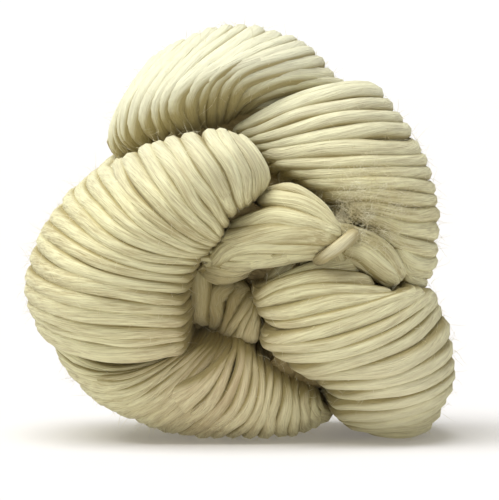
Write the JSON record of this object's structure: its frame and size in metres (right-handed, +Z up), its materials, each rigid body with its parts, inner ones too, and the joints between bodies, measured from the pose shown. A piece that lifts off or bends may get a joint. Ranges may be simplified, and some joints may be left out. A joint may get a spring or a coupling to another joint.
{
  "type": "hank of yarn",
  "caption": "Short, fat hank of cream chunky single-ply yarn, its twisted lobes curling round a small hollow, with a short tie, resting on its lower lobes.",
  "frame": {"origin": "on the ground, under the middle of the hank's bounding box", "axes": "+Z up, +X to the right of the looped end, -Y out of the looped end towards the viewer"},
  "size_m": [0.1295, 0.1265, 0.1235],
  "materials": {
    "yarn": "undyed cream wool, soft and matt, single ply with a low twist and a light fuzz",
    "tie_yarn": "the same undyed cream wool, a little paler where it crosses in front"
  },
  "bodies": {
    "root": {"hank": "yarn", "tie": "tie_yarn"}
  },
  "joints": []
}
